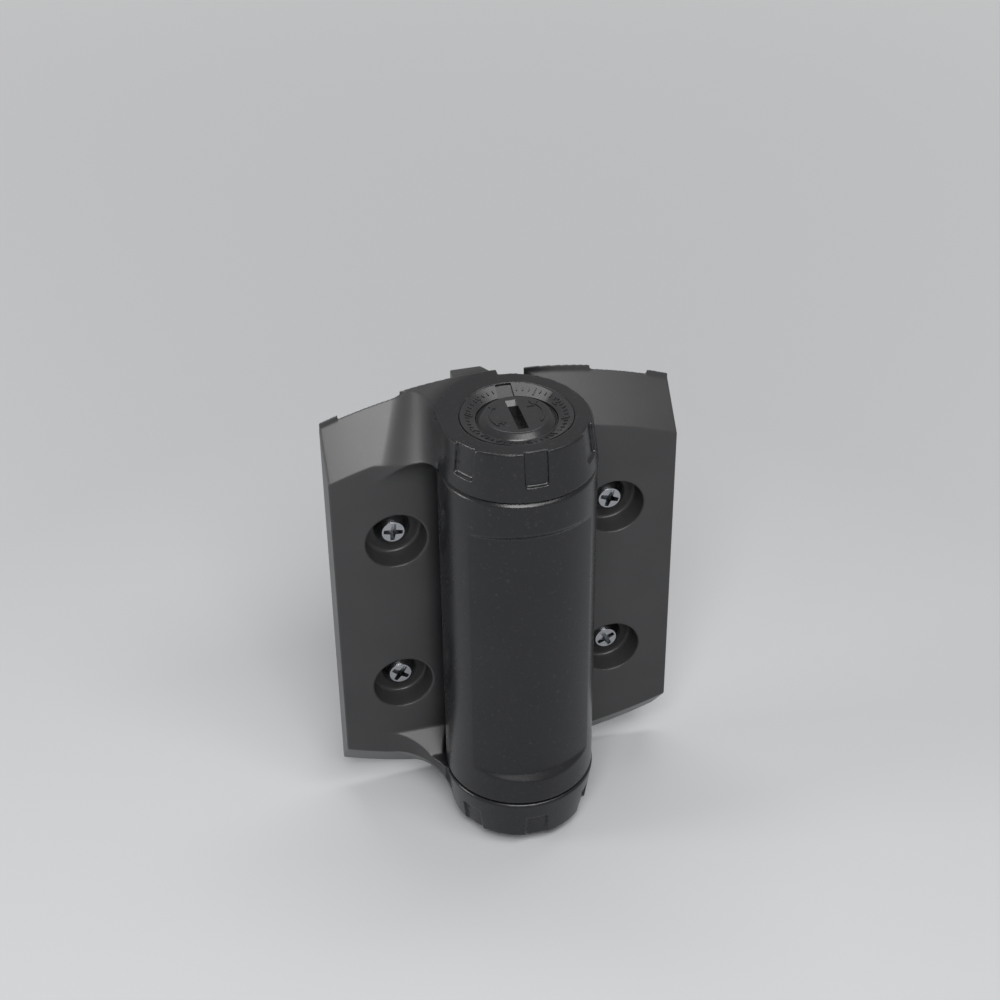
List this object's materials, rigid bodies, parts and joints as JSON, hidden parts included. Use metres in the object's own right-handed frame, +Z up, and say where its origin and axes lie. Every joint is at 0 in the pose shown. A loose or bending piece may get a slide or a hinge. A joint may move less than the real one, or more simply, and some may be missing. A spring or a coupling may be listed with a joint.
{
  "type": "self-closing gate hinge",
  "caption": "Self-closing gate hinge with a leaf on each side of a large sprung barrel, whose closing force is set by a slotted dial on top.",
  "frame": {"origin": "back face of the post leaf, midway between its two screws", "axes": "+Z up along the pivot, +X from the post leaf towards the gate leaf, +Y out of the back faces into the post and gate"},
  "size_m": [0.094, 0.0693, 0.1326],
  "materials": {
    "post_leaf": "satin moulded, charcoal black",
    "dial_ring": "satin moulded, charcoal black",
    "upper_pivot_sleeve": "glass-filled, dark grey",
    "lower_pivot_plug": "glass-filled, dark grey",
    "pivot_pin": "stainless, ground",
    "pin_clip": "stainless, ground",
    "bottom_cap": "satin moulded, charcoal black",
    "upper_washer": "natural white, self-lubricating",
    "lower_washer": "natural white, self-lubricating",
    "post_screws": "bright zinc plated",
    "gate_leaf": "satin moulded, charcoal black",
    "upper_bush": "natural white, self-lubricating",
    "lower_bush": "natural white, self-lubricating",
    "spring_bottom_holder": "glass-filled, dark grey",
    "torsion_spring": "oiled spring wire",
    "gate_screws": "bright zinc plated",
    "dial_bush": "natural white, self-lubricating",
    "tension_dial": "satin moulded, charcoal black",
    "spring_top_holder": "glass-filled, dark grey",
    "holder_screw": "bright zinc plated",
    "dial_seal": "black, moulded"
  },
  "bodies": {
    "post_side": {"post_leaf": "post_leaf", "dial_ring": "dial_ring", "upper_pivot_sleeve": "upper_pivot_sleeve", "lower_pivot_plug": "lower_pivot_plug", "pivot_pin": "pivot_pin", "pin_clip": "pin_clip", "bottom_cap": "bottom_cap", "upper_washer": "upper_washer", "lower_washer": "lower_washer", "post_screws": "post_screws"},
    "gate_side": {"gate_leaf": "gate_leaf", "upper_bush": "upper_bush", "lower_bush": "lower_bush", "spring_bottom_holder": "spring_bottom_holder", "torsion_spring": "torsion_spring", "gate_screws": "gate_screws"},
    "dial_carrier": {"dial_bush": "dial_bush"},
    "dial": {"tension_dial": "tension_dial", "spring_top_holder": "spring_top_holder", "holder_screw": "holder_screw", "dial_seal": "dial_seal"}
  },
  "joints": [
    {"name": "gate_swing", "type": "hinge", "parent": "post_side", "child": "gate_side", "pos_m": [0.03, -0.0215, 0], "axis": [0, 0, -1], "range_deg": [0, 180], "stiffness_Nm_per_rad": 0.3, "springref_deg": -137.51, "deforming": ["torsion_spring"]},
    {"name": "dial_press", "type": "slide", "parent": "post_side", "child": "dial_carrier", "axis": [0, 0, -1], "range_m": [0, 0.0025], "stiffness_N_per_m": 500, "springref_m": -0.004, "deforming": ["torsion_spring"]},
    {"name": "dial_turn", "type": "hinge", "parent": "dial_carrier", "child": "dial", "pos_m": [0.03, -0.0215, 0], "axis": [0, 0, -1], "range_deg": [0, 270], "deforming": ["torsion_spring"]}
  ]
}
